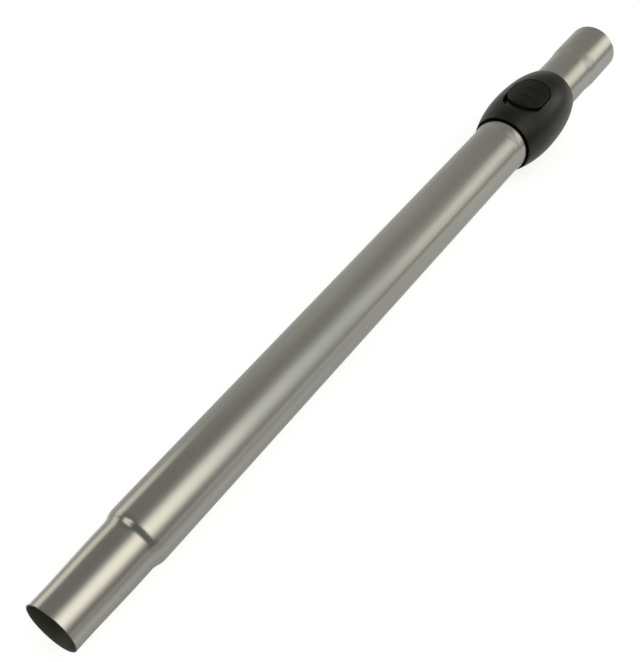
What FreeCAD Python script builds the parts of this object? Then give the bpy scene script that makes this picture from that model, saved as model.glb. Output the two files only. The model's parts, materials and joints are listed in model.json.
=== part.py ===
import FreeCAD, Part
import math
import os

# A telescopic suction wand, pushed together, lying at rest with its slide button on top.
# Sizes are in millimetres. The pieces are made along X, from the spigot's mouth to the handle's socket,
# with Z up through the button, and are then tipped to lie on the spigot's shoulder and the collar's belly.

# Tubes
TUBE_WALL = 0.7
RIM_CHAMFER = 0.22
INNER_TUBE_RADIUS = 17.5
GUIDE_GAP = 1.05
OUTER_TUBE_LENGTH = 462.0

# Spigot for the floor tool
SPIGOT_TIP_RADIUS = 16.85
SPIGOT_RADIUS = 17.5
SPIGOT_TIP_LENGTH = 12.0
SPIGOT_CONE_LENGTH = 30.0
SPIGOT_SEAT_LENGTH = 14.5
SHOULDER_LENGTH = 9.1

# Flared end of the outer tube, which holds the guide sleeve
SEAT_WIDENING = 0.55
SEAT_LENGTH = 13.0
FLARE_LENGTH = 8.0
LUG_RADIUS = 2.3
LUG_FROM_END = 5.0

# Socket for the handle, at the inner tube's far end
SOCKET_CLEARANCE = 0.15
SOCKET_LENGTH = 28.0
SOCKET_FLARE_LENGTH = 14.0
EXPOSED_LENGTH = 70.2

# Barrel collar
COLLAR_OVERLAP = 9.0
COLLAR_NEAR_LENGTH = 31.0
COLLAR_FAR_LENGTH = 38.8
COLLAR_SWELL = 6.95
BELLY_RADIUS = 150.0
BELLY_NEAR_LENGTH = 4.0
BELLY_FAR_LENGTH = 18.0
MOUTH_GAP = 1.2
MOUTH_DEPTH = 4.0
NEAR_LIP_WALL = 0.6
FAR_LIP_WALL = 1.95
LIP_ROUND = 0.4
COLLAR_WALL = 3.6
COLLAR_CORE_RISE = 2.4
COLLAR_RIB_WALL = 1.4
COLLAR_RIB_COUNT = 7
COLLAR_RIB_SPREAD = 170.0
SHOULDER_LAND = 2.4
FAR_LAND = 3.0
FAR_LIP_LENGTH = 3.5
MOUTH_CLEARANCE = 0.1
LIP_CLEARANCE = 0.4

# Guide sleeve
SLEEVE_WALL = 1.66
SLEEVE_SEAT_LENGTH = 11.5
FLANGE_LENGTH = 2.5
FLANGE_STEP = 0.7
SLIDE_CLEARANCE = 0.14
SEAT_CLEARANCE = 0.05
WIPER_LENGTH = 3.3

# Key groove along the underside of the inner tube
KEY_RADIUS = 2.5
KEY_DEPTH = 1.1
KEY_CLEARANCE = 0.3
KEY_END_MARGIN = 3.5

# Lock notches and dog
NOTCH_PITCH = 30.0
NOTCH_DEPTH = 1.35
NOTCH_CLEARANCE = 0.1
DOG_LENGTH = 4.0
DOG_HALF_WIDTH = 5.0
DOG_HEIGHT = 4.65
DOG_CLEARANCE = 0.1
PIN_RADIUS = 1.0
PIN_HEIGHT = 3.35
PIN_END = 0.2
PIN_FIT = 0.01
DOG_LIFT = 1.5

# Lock housing
HOUSING_WALL = 1.6
HOUSING_SIDE_WALL = 1.2
HOUSING_RISE = 2.9
HOUSING_FOOT_STEP = 0.4

# Slide button
BUTTON_TRAVEL = 5.0
PAD_LENGTH = 31.0
PAD_HALF_WIDTH = 13.2
PAD_NEAR_ROUND = 12.5
PAD_FAR_ROUND = 11.0
PAD_OFFSET = 0.9
PAD_SINK = 1.1
PAD_CROWN = 34.0
PAD_EDGE_ROUND = 0.8
PAD_ROOF = 2.0
POCKET_GAP = 0.45
POCKET_RIM_ROUND = 0.5
POCKET_CLEARANCE = 0.2
POCKET_FLOOR = 1.8
POCKET_WALL = 1.6
HOOK_ROOM = 1.6
GRIP_COUNT = 3
GRIP_PITCH = 9.0
GRIP_OFFSET = -3.4
GRIP_RADIUS = 1.0
GRIP_HEIGHT = 0.6
GRIP_LENGTH = 9.0
LEG_WALL = 1.6
LEG_GAP = 0.2
LEG_EDGE = 0.9
SLOT_CLEARANCE = 0.1
LEG_CLEARANCE = 0.25
HOOK_WIDTH = 0.8
HOOK_HEIGHT = 0.55

# Return spring
SPRING_RADIUS = 1.2
SPRING_WIRE = 0.4
SPRING_TURNS = 4
SPRING_WALL = 1.5
SPRING_WALL_INSET = 1.6
SPRING_WALL_HALF_WIDTH = 2.8
STUB_RADIUS = 0.85
STUB_LENGTH = 1.2
SPRING_SEAT_GAP = 0.02

# End guides and seal on the inner tube's hidden end
INNER_END_GAP = 4.4
END_GUIDE_LENGTH = 20.0
END_GUIDE_LIP = 1.2
END_GUIDE_CLEARANCE = 0.35
END_GUIDE_SPLIT = 0.3
PEG_RADIUS = 2.5
PEG_CLEARANCE = 0.1
SEAL_LENGTH = 2.8
SEAL_DEPTH = 0.35
SEAL_PROUD = 0.2
SEAL_FROM_END = 3.0
SEAL_CLEARANCE = 0.02
STOP_GAP = 0.5

# Radii that follow from the sizes above
MAIN_BORE = INNER_TUBE_RADIUS + GUIDE_GAP
MAIN_RADIUS = MAIN_BORE + TUBE_WALL
SEAT_RADIUS = MAIN_RADIUS + SEAT_WIDENING
SEAT_BORE = SEAT_RADIUS - TUBE_WALL
SOCKET_RADIUS = SPIGOT_RADIUS + SOCKET_CLEARANCE + TUBE_WALL
SLEEVE_BORE = INNER_TUBE_RADIUS + SLIDE_CLEARANCE
SLEEVE_RADIUS = SLEEVE_BORE + SLEEVE_WALL
NEAR_BORE = SEAT_RADIUS + MOUTH_CLEARANCE
MOUTH_BORE = SEAT_RADIUS + MOUTH_GAP
FLANGE_RADIUS = NEAR_BORE + FLANGE_STEP
FAR_BORE = INNER_TUBE_RADIUS + LIP_CLEARANCE
COLLAR_RADIUS = MAIN_RADIUS + COLLAR_SWELL
FLOOR_RADIUS = SLEEVE_RADIUS + HOOK_ROOM + POCKET_FLOOR
PAD_TOP = COLLAR_RADIUS - PAD_SINK
PAD_CEILING = PAD_TOP - PAD_ROOF
SEAM_TURN = 50.0

# Stations along the wand that follow from the sizes above
SHOULDER_START = SPIGOT_TIP_LENGTH + SPIGOT_CONE_LENGTH + SPIGOT_SEAT_LENGTH
SHOULDER_END = SHOULDER_START + SHOULDER_LENGTH
SEAT_START = OUTER_TUBE_LENGTH - SEAT_LENGTH
COLLAR_NEAR = OUTER_TUBE_LENGTH - COLLAR_OVERLAP
COLLAR_WIDEST = COLLAR_NEAR + COLLAR_NEAR_LENGTH
COLLAR_FAR = COLLAR_WIDEST + COLLAR_FAR_LENGTH
SLEEVE_NEAR = OUTER_TUBE_LENGTH - SLEEVE_SEAT_LENGTH
FLANGE_END = OUTER_TUBE_LENGTH + FLANGE_LENGTH
FAR_LIP = COLLAR_FAR - FAR_LIP_LENGTH
SLEEVE_FAR = FAR_LIP - WIPER_LENGTH - 2 * SEAT_CLEARANCE
INNER_NEAR = SHOULDER_END + INNER_END_GAP
WAND_LENGTH = COLLAR_FAR + EXPOSED_LENGTH
END_GUIDE_FAR = INNER_NEAR + END_GUIDE_LENGTH
LOCK_X = COLLAR_WIDEST
PAD_NEAR = COLLAR_WIDEST + PAD_OFFSET - PAD_LENGTH / 2
PAD_FAR = PAD_NEAR + PAD_LENGTH
NOTCH_COUNT = 1 + int((SLEEVE_NEAR - STOP_GAP - END_GUIDE_FAR) / NOTCH_PITCH)

# Heights over the wand's axis that the lock shares
NOSE_RADIUS = DOG_LENGTH / 2
NOTCH_RADIUS = NOSE_RADIUS + NOTCH_CLEARANCE
NOTCH_AXIS = INNER_TUBE_RADIUS - NOTCH_DEPTH + NOTCH_RADIUS
DOG_BOTTOM = NOTCH_AXIS - NOSE_RADIUS
DOG_TOP = DOG_BOTTOM + DOG_HEIGHT
PIN_AXIS = DOG_BOTTOM + PIN_HEIGHT
HOUSING_TOP = SLEEVE_RADIUS + HOUSING_RISE
HOUSING_HALF_LENGTH = NOSE_RADIUS + DOG_CLEARANCE + HOUSING_WALL
HOUSING_HALF_WIDTH = DOG_HALF_WIDTH + DOG_CLEARANCE + HOUSING_SIDE_WALL
LEG_INSIDE = HOUSING_HALF_WIDTH + LEG_GAP
LEG_OUTSIDE = LEG_INSIDE + LEG_WALL
SLOT_HALF_WIDTH = PIN_RADIUS + SLOT_CLEARANCE
LEG_BOTTOM = PIN_AXIS - SLOT_HALF_WIDTH - LEG_EDGE
LEG_NEAR = LOCK_X - SLOT_HALF_WIDTH - LEG_EDGE
LEG_FAR = LOCK_X + BUTTON_TRAVEL + SLOT_HALF_WIDTH + LEG_EDGE
SPRING_START = LOCK_X + HOUSING_HALF_LENGTH
SPRING_END = PAD_FAR - SPRING_WALL_INSET - SPRING_WALL
SPRING_OUTSIDE = SPRING_RADIUS + SPRING_WIRE / 2
SPRING_AXIS = SLEEVE_RADIUS + LEG_CLEARANCE + SPRING_OUTSIDE
WINDOW_HALF_WIDTH = LEG_OUTSIDE + LEG_GAP

# Past everything, for cuts that go right through, and near enough to be one point
BEYOND = 2 * COLLAR_RADIUS
SAME_POINT = 1e-6

# Degrees round the wand from its top
UNDERSIDE = 180.0

ORIGIN = FreeCAD.Vector(0, 0, 0)
ALONG = FreeCAD.Vector(1, 0, 0)
ACROSS = FreeCAD.Vector(0, 1, 0)
UP = FreeCAD.Vector(0, 0, 1)


def at(x, radius):
    """A point of a section through the axis."""
    return FreeCAD.Vector(x, 0, radius)


def line(start, end):
    return Part.LineSegment(start, end).toShape()


def arc(start, middle, end):
    return Part.Arc(start, middle, end).toShape()


def spin(edges):
    """The closed section turned about the wand's axis, its seam kept off the top, sides and underside."""
    section = Part.Face(Part.Wire(Part.sortEdges(edges)[0]))
    solid = section.revolve(ORIGIN, ALONG, 360)
    solid.rotate(ORIGIN, ALONG, SEAM_TURN)
    return solid


def ring(*corners):
    """A turned ring whose section has these corners, each a station and a radius."""
    points = [at(x, radius) for x, radius in corners]
    return spin([line(a, b) for a, b in zip(points, points[1:] + points[:1])])


def rod(radius, start, end):
    """A solid cylinder on the wand's axis."""
    return Part.makeCylinder(radius, end - start, at(start, 0), ALONG)


def block(x0, x1, y0, y1, z0, z1):
    return Part.makeBox(x1 - x0, y1 - y0, z1 - z0, FreeCAD.Vector(x0, y0, z0))


def cross_rod(radius, x, z, half_length):
    """A cylinder across the wand."""
    return Part.makeCylinder(radius, 2 * half_length, FreeCAD.Vector(x, -half_length, z), ACROSS)


def mirrored(shape):
    return shape.mirror(ORIGIN, ACROSS)


def bend_radius(run, rise):
    """The radius of the two equal arcs that step a wall by rise over a run."""
    return (run * run + rise * rise) / (4 * abs(rise))


def s_bend(start, end):
    """Two tangent arcs that carry a wall from one radius to another; a level stretch stays a line."""
    run = end.x - start.x
    rise = end.z - start.z
    if abs(rise) < SAME_POINT:
        return [line(start, end)]
    radius = bend_radius(run, rise)
    half_turn = math.atan2(abs(rise), run)
    step = FreeCAD.Vector(radius * math.sin(half_turn), 0,
                          math.copysign(radius * (1 - math.cos(half_turn)), rise))
    middle = (start + end) / 2
    return [arc(start, start + step, middle), arc(middle, end - step, end)]


def tube(stations, bends, chamfered):
    """A thin tube. Each station is a place and an outside radius; bends lists the stretches, by their
    first station, that change radius smoothly, and chamfered lists the ends (0 near, -1 far) whose rim
    has its corners taken off."""
    walls = []
    for drop in (0, TUBE_WALL):
        points = [at(x, radius - drop) for x, radius in stations]
        for end in chamfered:
            towards_tube = RIM_CHAMFER if end == 0 else -RIM_CHAMFER
            points[end] = points[end] + ALONG * towards_tube
        walls.append(points)
    edges = []
    for points in walls:
        for index, (start, end) in enumerate(zip(points, points[1:])):
            edges += s_bend(start, end) if index in bends else [line(start, end)]
    for end in (0, -1):
        outside = walls[0][end]
        inside = walls[1][end]
        if end in chamfered:
            x = stations[end][0]
            upper = at(x, outside.z - RIM_CHAMFER)
            lower = at(x, inside.z + RIM_CHAMFER)
            edges += [line(outside, upper), line(upper, lower), line(lower, inside)]
        else:
            edges.append(line(outside, inside))
    return spin(edges)


def capsule(radius, start, end):
    """A round-ended rod from one point to another."""
    reach = end - start
    straight = Part.makeCylinder(radius, reach.Length, start, reach)
    return straight.fuse([Part.makeSphere(radius, point) for point in (start, end)])


def oval_block(near, far, half_width, near_round, far_round, bottom, top):
    """An upright block whose plan is an oval with its own corner radius at each end."""
    near_round = min(near_round, half_width)
    far_round = min(far_round, half_width)
    corners = ((far - far_round, far_round - half_width, far_round),
               (far - far_round, half_width - far_round, far_round),
               (near + near_round, half_width - near_round, near_round),
               (near + near_round, near_round - half_width, near_round))
    quarter = math.pi / 2
    bows = []
    for index, (x, y, radius) in enumerate(corners):
        turns = [quarter * (index - 1 + step) for step in (0, 0.5, 1)]
        bows.append([FreeCAD.Vector(x + radius * math.cos(turn), y + radius * math.sin(turn), bottom)
                     for turn in turns])
    edges = []
    for bow, following in zip(bows, bows[1:] + bows[:1]):
        edges.append(arc(*bow))
        if not bow[-1].isEqual(following[0], SAME_POINT):
            edges.append(line(bow[-1], following[0]))
    plan = Part.Face(Part.Wire(Part.sortEdges(edges)[0]))
    return plan.extrude(UP * (top - bottom))


def make_outer_tube():
    stations = [(0, SPIGOT_TIP_RADIUS),
                (SPIGOT_TIP_LENGTH, SPIGOT_TIP_RADIUS),
                (SPIGOT_TIP_LENGTH + SPIGOT_CONE_LENGTH, SPIGOT_RADIUS),
                (SHOULDER_START, SPIGOT_RADIUS),
                (SHOULDER_END, MAIN_RADIUS),
                (SEAT_START - FLARE_LENGTH, MAIN_RADIUS),
                (SEAT_START, SEAT_RADIUS),
                (OUTER_TUBE_LENGTH, SEAT_RADIUS)]
    shoulder_bend = 3
    flare_bend = 5
    body = tube(stations, (shoulder_bend, flare_bend), (0,))
    lug_holes = cross_rod(LUG_RADIUS + SLIDE_CLEARANCE, OUTER_TUBE_LENGTH - LUG_FROM_END, 0, BEYOND)
    return body.cut(lug_holes)


def make_guide_sleeve():
    body = ring((SLEEVE_NEAR, SLEEVE_BORE),
                (SLEEVE_NEAR, SEAT_BORE - SEAT_CLEARANCE),
                (OUTER_TUBE_LENGTH, SEAT_BORE - SEAT_CLEARANCE),
                (OUTER_TUBE_LENGTH, FLANGE_RADIUS),
                (FLANGE_END, FLANGE_RADIUS),
                (FLANGE_END, SLEEVE_RADIUS),
                (SLEEVE_FAR, SLEEVE_RADIUS),
                (SLEEVE_FAR, SLEEVE_BORE))
    middle = (SLEEVE_BORE + SEAT_BORE) / 2
    lug_shell = ring((SLEEVE_NEAR, middle), (SLEEVE_NEAR, SEAT_RADIUS),
                     (OUTER_TUBE_LENGTH, SEAT_RADIUS), (OUTER_TUBE_LENGTH, middle))
    lugs = cross_rod(LUG_RADIUS, OUTER_TUBE_LENGTH - LUG_FROM_END, 0, BEYOND).common(lug_shell)
    key_axis = -(INNER_TUBE_RADIUS - KEY_DEPTH + KEY_RADIUS)
    key_near = SLEEVE_NEAR + KEY_END_MARGIN
    key_rod = Part.makeCylinder(KEY_RADIUS - KEY_CLEARANCE, SLEEVE_FAR - key_near,
                                at(key_near, key_axis), ALONG)
    key = key_rod.common(rod(middle, SLEEVE_NEAR, SLEEVE_FAR))
    body = body.fuse([lugs, key])
    foot = HOUSING_HALF_LENGTH - HOUSING_FOOT_STEP
    window = block(LOCK_X - foot - SEAT_CLEARANCE, LOCK_X + foot + SEAT_CLEARANCE,
                   -HOUSING_HALF_WIDTH + HOUSING_FOOT_STEP - SEAT_CLEARANCE,
                   HOUSING_HALF_WIDTH - HOUSING_FOOT_STEP + SEAT_CLEARANCE, 0, BEYOND)
    leg_channel = block(LEG_NEAR - BUTTON_TRAVEL - LEG_CLEARANCE, LEG_FAR + LEG_CLEARANCE,
                        LEG_INSIDE - LEG_GAP, WINDOW_HALF_WIDTH, LEG_BOTTOM - LEG_CLEARANCE, BEYOND)
    return body.cut([window, leg_channel, mirrored(leg_channel)])


def tangent_arc(start, inward, end):
    """The arc that leaves start square to the inward direction and runs to end."""
    chord = end - start
    radius = chord.dot(chord) / (2 * chord.dot(inward))
    centre = start + inward * radius
    towards_middle = (start - centre) + (end - centre)
    middle = centre + towards_middle.normalize() * radius
    return arc(start, middle, end)


def barrel(inset):
    """The collar's outer form, or the form inset from it: a belly arc with a tangent arc to each mouth."""
    belly = BELLY_RADIUS - inset
    centre = at(COLLAR_WIDEST, COLLAR_RADIUS - BELLY_RADIUS)
    near_lean = math.asin(BELLY_NEAR_LENGTH / BELLY_RADIUS)
    far_lean = math.asin(BELLY_FAR_LENGTH / BELLY_RADIUS)
    near_out = FreeCAD.Vector(-math.sin(near_lean), 0, math.cos(near_lean))
    far_out = FreeCAD.Vector(math.sin(far_lean), 0, math.cos(far_lean))
    near_join = centre + near_out * belly
    far_join = centre + far_out * belly
    near_mouth = at(COLLAR_NEAR, MOUTH_BORE + NEAR_LIP_WALL - inset)
    far_mouth = at(COLLAR_FAR, FAR_BORE + FAR_LIP_WALL - inset)
    edges = [tangent_arc(near_join, -near_out, near_mouth),
             arc(near_join, centre + UP * belly, far_join),
             tangent_arc(far_join, -far_out, far_mouth),
             line(near_mouth, at(COLLAR_NEAR, 0)),
             line(at(COLLAR_NEAR, 0), at(COLLAR_FAR, 0)),
             line(at(COLLAR_FAR, 0), far_mouth)]
    return spin(edges)


def pocket_plan(grow, bottom):
    """The upright oval that the button slides in, or one grown from it."""
    gap = POCKET_GAP + grow
    return oval_block(PAD_NEAR - BUTTON_TRAVEL - gap, PAD_FAR + gap, PAD_HALF_WIDTH + gap,
                      PAD_NEAR_ROUND + gap, PAD_FAR_ROUND + gap, bottom, BEYOND)


def pocket_rim(body):
    """The edges where the pocket's wall meets the collar's outside."""
    half_width = PAD_HALF_WIDTH + POCKET_GAP + SAME_POINT
    rim = []
    for edge in body.Edges:
        middle = edge.valueAt((edge.FirstParameter + edge.LastParameter) / 2)
        over_floor = math.hypot(middle.y, middle.z) > FLOOR_RADIUS + POCKET_CLEARANCE
        in_plan = middle.z > 0 and abs(middle.y) < half_width
        upright = isinstance(edge.Curve, Part.Line)
        if over_floor and in_plan and not upright:
            rim.append(edge)
    return rim


def make_collar_shell():
    body = barrel(0)
    lips = [edge for edge in body.Edges if isinstance(edge.Curve, Part.Circle)
            and edge.BoundBox.XLength < SAME_POINT
            and not COLLAR_NEAR + LIP_ROUND < edge.CenterOfMass.x < COLLAR_FAR - LIP_ROUND]
    body = body.makeFillet(LIP_ROUND, lips)
    body = body.cut(pocket_plan(0, 0).cut(rod(FLOOR_RADIUS, 0, WAND_LENGTH)))
    body = body.makeFillet(POCKET_RIM_ROUND, pocket_rim(body))
    core_near = FLANGE_END + SEAT_CLEARANCE + SHOULDER_LAND
    core_far = SLEEVE_FAR - FAR_LAND
    boss = pocket_plan(POCKET_WALL, 0).cut(rod(FLOOR_RADIUS - POCKET_FLOOR, 0, WAND_LENGTH))
    core = barrel(COLLAR_WALL).translated(UP * COLLAR_CORE_RISE)
    core = core.common(rod(BEYOND, core_near, core_far)).cut(boss)
    ribs = []
    for index in range(COLLAR_RIB_COUNT):
        turn = UNDERSIDE + COLLAR_RIB_SPREAD * (index / (COLLAR_RIB_COUNT - 1) - 1 / 2)
        rib = block(core_near, core_far, -COLLAR_RIB_WALL / 2, COLLAR_RIB_WALL / 2, SLEEVE_RADIUS, BEYOND)
        rib.rotate(ORIGIN, ALONG, turn)
        ribs.append(rib)
    core = core.cut(ribs)
    bore = SLEEVE_RADIUS + SEAT_CLEARANCE
    flange_seat = FLANGE_RADIUS + SEAT_CLEARANCE
    leg_window = block(LEG_NEAR - BUTTON_TRAVEL - LEG_CLEARANCE, LEG_FAR + LEG_CLEARANCE,
                       -WINDOW_HALF_WIDTH, WINDOW_HALF_WIDTH, 0, BEYOND)
    spring_half = SPRING_WALL_HALF_WIDTH + LEG_GAP
    spring_window = block(LOCK_X, SPRING_END + SPRING_WALL + LEG_CLEARANCE,
                          -spring_half, spring_half, 0, BEYOND)
    return body.cut([core,
                     rod(MOUTH_BORE, 0, COLLAR_NEAR + MOUTH_DEPTH),
                     rod(NEAR_BORE, 0, FLANGE_END),
                     rod(flange_seat, OUTER_TUBE_LENGTH - SEAT_CLEARANCE, FLANGE_END + SEAT_CLEARANCE),
                     rod(bore, FLANGE_END, FAR_LIP),
                     rod(FAR_BORE, FLANGE_END, WAND_LENGTH),
                     leg_window, spring_window])


def make_wiper_ring():
    outside = SLEEVE_RADIUS
    near = SLEEVE_FAR + SEAT_CLEARANCE
    far = FAR_LIP - SEAT_CLEARANCE
    return ring((near, SLEEVE_BORE), (near, outside), (far, outside), (far, SLEEVE_BORE))


def make_lock_housing():
    near = LOCK_X - HOUSING_HALF_LENGTH
    far = LOCK_X + HOUSING_HALF_LENGTH
    tower = block(near, far, -HOUSING_HALF_WIDTH, HOUSING_HALF_WIDTH, 0, HOUSING_TOP)
    tower = tower.cut(rod(SLEEVE_RADIUS, near, far))
    step = HOUSING_FOOT_STEP
    foot = block(near + step, far - step, -HOUSING_HALF_WIDTH + step, HOUSING_HALF_WIDTH - step,
                 0, SLEEVE_RADIUS + HOUSING_RISE / 2)
    foot = foot.cut(rod(SLEEVE_BORE + SLIDE_CLEARANCE, near, far))
    stub = Part.makeCylinder(STUB_RADIUS, STUB_LENGTH, at(far, SPRING_AXIS), ALONG)
    body = tower.fuse([foot, stub])
    half_length = NOSE_RADIUS + DOG_CLEARANCE
    half_width = DOG_HALF_WIDTH + DOG_CLEARANCE
    dog_shaft = block(LOCK_X - half_length, LOCK_X + half_length, -half_width, half_width, 0, BEYOND)
    pin_slot = block(LOCK_X - SLOT_HALF_WIDTH, LOCK_X + SLOT_HALF_WIDTH, -BEYOND, BEYOND,
                     PIN_AXIS - SLOT_HALF_WIDTH, BEYOND)
    return body.cut([dog_shaft, pin_slot])


def make_lock_dog():
    body = block(LOCK_X - NOSE_RADIUS, LOCK_X + NOSE_RADIUS, -DOG_HALF_WIDTH, DOG_HALF_WIDTH,
                 NOTCH_AXIS, DOG_TOP)
    nose = cross_rod(NOSE_RADIUS, LOCK_X, NOTCH_AXIS, DOG_HALF_WIDTH)
    pin_hole = cross_rod(PIN_RADIUS + PIN_FIT, LOCK_X, PIN_AXIS, BEYOND)
    return body.fuse(nose).removeSplitter().cut(pin_hole)


def make_lock_cross_pin():
    pin = cross_rod(PIN_RADIUS, LOCK_X, PIN_AXIS, LEG_OUTSIDE + PIN_END / 2)
    ends = [edge for edge in pin.Edges if isinstance(edge.Curve, Part.Circle)]
    return pin.makeChamfer(PIN_END, ends)


def make_grip(x):
    """A half-sunk bead across the button."""
    half_length = GRIP_LENGTH / 2 - GRIP_RADIUS
    height = PAD_TOP + GRIP_HEIGHT - GRIP_RADIUS
    middle = at(x, height)
    return capsule(GRIP_RADIUS, middle - ACROSS * half_length, middle + ACROSS * half_length)


def make_release_button():
    plan = oval_block(PAD_NEAR, PAD_FAR, PAD_HALF_WIDTH, PAD_NEAR_ROUND, PAD_FAR_ROUND, 0, BEYOND)
    crown = Part.makeCylinder(PAD_CROWN, WAND_LENGTH, at(0, PAD_TOP - PAD_CROWN), ALONG)
    pad = plan.common(crown)
    top = [face for face in pad.Faces if face.BoundBox.ZMax > PAD_TOP - SAME_POINT
           and isinstance(face.Surface, Part.Cylinder) and abs(face.Surface.Radius - PAD_CROWN) < SAME_POINT]
    pad = pad.makeFillet(PAD_EDGE_ROUND, top[0].Edges)
    under = FLOOR_RADIUS + POCKET_CLEARANCE
    pad = pad.cut(rod(under, 0, WAND_LENGTH))
    room = block(LOCK_X - HOUSING_HALF_LENGTH - LEG_CLEARANCE, SPRING_END,
                 -LEG_OUTSIDE, LEG_OUTSIDE, 0, PAD_CEILING)
    pad = pad.cut(room)
    middle = (PAD_NEAR + PAD_FAR) / 2 + GRIP_OFFSET
    grips = [make_grip(middle + GRIP_PITCH * (index - (GRIP_COUNT - 1) / 2)) for index in range(GRIP_COUNT)]
    roof = (PAD_CEILING + PAD_TOP) / 2
    leg = block(LEG_NEAR, LEG_FAR, LEG_INSIDE, LEG_OUTSIDE, LEG_BOTTOM, PAD_CEILING + LEG_CLEARANCE)
    hook_top = LEG_BOTTOM + HOOK_HEIGHT
    hook = block(LEG_NEAR + LEG_EDGE, LEG_FAR - LEG_EDGE, LEG_OUTSIDE - LEG_WALL / 2,
                 LEG_OUTSIDE + HOOK_WIDTH, LEG_BOTTOM, hook_top)
    spring_wall = block(SPRING_END, SPRING_END + SPRING_WALL, -SPRING_WALL_HALF_WIDTH,
                        SPRING_WALL_HALF_WIDTH, SLEEVE_RADIUS + LEG_CLEARANCE, roof)
    stub = Part.makeCylinder(STUB_RADIUS, STUB_LENGTH, at(SPRING_END - STUB_LENGTH, SPRING_AXIS), ALONG)
    body = pad.fuse(grips + [leg, mirrored(leg), hook, mirrored(hook), spring_wall, stub])
    low = FreeCAD.Vector(LOCK_X, 0, PIN_AXIS)
    high = FreeCAD.Vector(LOCK_X + BUTTON_TRAVEL, 0, PIN_AXIS + DOG_LIFT)
    slope = high - low
    slant = Part.makeBox(slope.Length, 2 * BEYOND, 2 * SLOT_HALF_WIDTH,
                         FreeCAD.Vector(0, -BEYOND, -SLOT_HALF_WIDTH))
    slant.rotate(ORIGIN, ACROSS, -math.degrees(math.atan2(slope.z, slope.x)))
    slant.translate(low)
    slot_ends = [cross_rod(SLOT_HALF_WIDTH, end.x, end.z, BEYOND) for end in (low, high)]
    return body.cut([slant] + slot_ends).removeSplitter()


def make_return_spring():
    """A coil of flat wire on X, from the housing's face to the wall under the button."""
    half = SPRING_WIRE / 2
    length = SPRING_END - SPRING_START - SPRING_WIRE - 2 * SPRING_SEAT_GAP
    helix = Part.makeHelix(length / SPRING_TURNS, length, SPRING_RADIUS)
    corners = [FreeCAD.Vector(SPRING_RADIUS + side * half, 0, height * half)
               for side, height in ((-1, -1), (1, -1), (1, 1), (-1, 1))]
    section = Part.makePolygon(corners + corners[:1])
    coil = Part.Wire(helix.Edges).makePipeShell([section], True, True)
    coil.rotate(ORIGIN, ACROSS, 90)
    coil.translate(at(SPRING_START + half + SPRING_SEAT_GAP, SPRING_AXIS))
    return coil


def make_inner_tube():
    stations = [(INNER_NEAR, INNER_TUBE_RADIUS),
                (WAND_LENGTH - SOCKET_LENGTH - SOCKET_FLARE_LENGTH, INNER_TUBE_RADIUS),
                (WAND_LENGTH - SOCKET_LENGTH, SOCKET_RADIUS),
                (WAND_LENGTH, SOCKET_RADIUS)]
    flare_bend = 1
    body = tube(stations, (flare_bend,), (-1,))
    mid_wall = rod(INNER_TUBE_RADIUS - TUBE_WALL / 2, INNER_NEAR, WAND_LENGTH)
    key_axis = -(INNER_TUBE_RADIUS - KEY_DEPTH + KEY_RADIUS)
    key_start = END_GUIDE_FAR + KEY_END_MARGIN
    key_end = SLEEVE_FAR + KEY_END_MARGIN
    key_run = (at(key_start, key_axis), at(key_end, key_axis))
    dents = [capsule(KEY_RADIUS, *key_run)]
    bulges = [capsule(KEY_RADIUS + TUBE_WALL, *key_run).common(mid_wall)]
    for index in range(NOTCH_COUNT):
        x = LOCK_X - index * NOTCH_PITCH
        dents.append(cross_rod(NOTCH_RADIUS, x, NOTCH_AXIS, INNER_TUBE_RADIUS))
        bulge = cross_rod(NOTCH_RADIUS + TUBE_WALL, x, NOTCH_AXIS, INNER_TUBE_RADIUS)
        bulges.append(bulge.common(mid_wall))
    peg_holes = cross_rod(PEG_RADIUS + PEG_CLEARANCE, INNER_NEAR + END_GUIDE_LENGTH / 2, 0, BEYOND)
    return body.fuse(bulges).cut(dents + [peg_holes])


def make_end_guide():
    """The half ring on the +Y side of the inner tube's hidden end."""
    outside = MAIN_BORE - END_GUIDE_CLEARANCE
    tube_bore = INNER_TUBE_RADIUS - TUBE_WALL
    seal_near = INNER_NEAR + SEAL_FROM_END
    seal_far = seal_near + SEAL_LENGTH
    whole = ring((INNER_NEAR - END_GUIDE_LIP, tube_bore),
                 (INNER_NEAR - END_GUIDE_LIP, outside),
                 (seal_near, outside),
                 (seal_near, outside - SEAL_DEPTH),
                 (seal_far, outside - SEAL_DEPTH),
                 (seal_far, outside),
                 (END_GUIDE_FAR, outside),
                 (END_GUIDE_FAR, INNER_TUBE_RADIUS),
                 (INNER_NEAR, INNER_TUBE_RADIUS),
                 (INNER_NEAR, tube_bore))
    side = block(0, WAND_LENGTH, END_GUIDE_SPLIT / 2, BEYOND, -BEYOND, BEYOND)
    peg_reach = (INNER_TUBE_RADIUS + outside) / 2
    peg_shell = ring((INNER_NEAR, tube_bore), (INNER_NEAR, peg_reach),
                     (END_GUIDE_FAR, peg_reach), (END_GUIDE_FAR, tube_bore))
    peg = cross_rod(PEG_RADIUS, INNER_NEAR + END_GUIDE_LENGTH / 2, 0, BEYOND).common(peg_shell)
    return whole.fuse(peg).common(side)


def make_end_seal():
    bottom = MAIN_BORE - END_GUIDE_CLEARANCE - SEAL_DEPTH + SEAL_CLEARANCE
    top = MAIN_BORE - END_GUIDE_CLEARANCE + SEAL_PROUD
    near = INNER_NEAR + SEAL_FROM_END + SEAL_CLEARANCE
    far = INNER_NEAR + SEAL_FROM_END + SEAL_LENGTH - SEAL_CLEARANCE
    return ring((near, bottom), (near, top), (far, top), (far, bottom))


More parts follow.
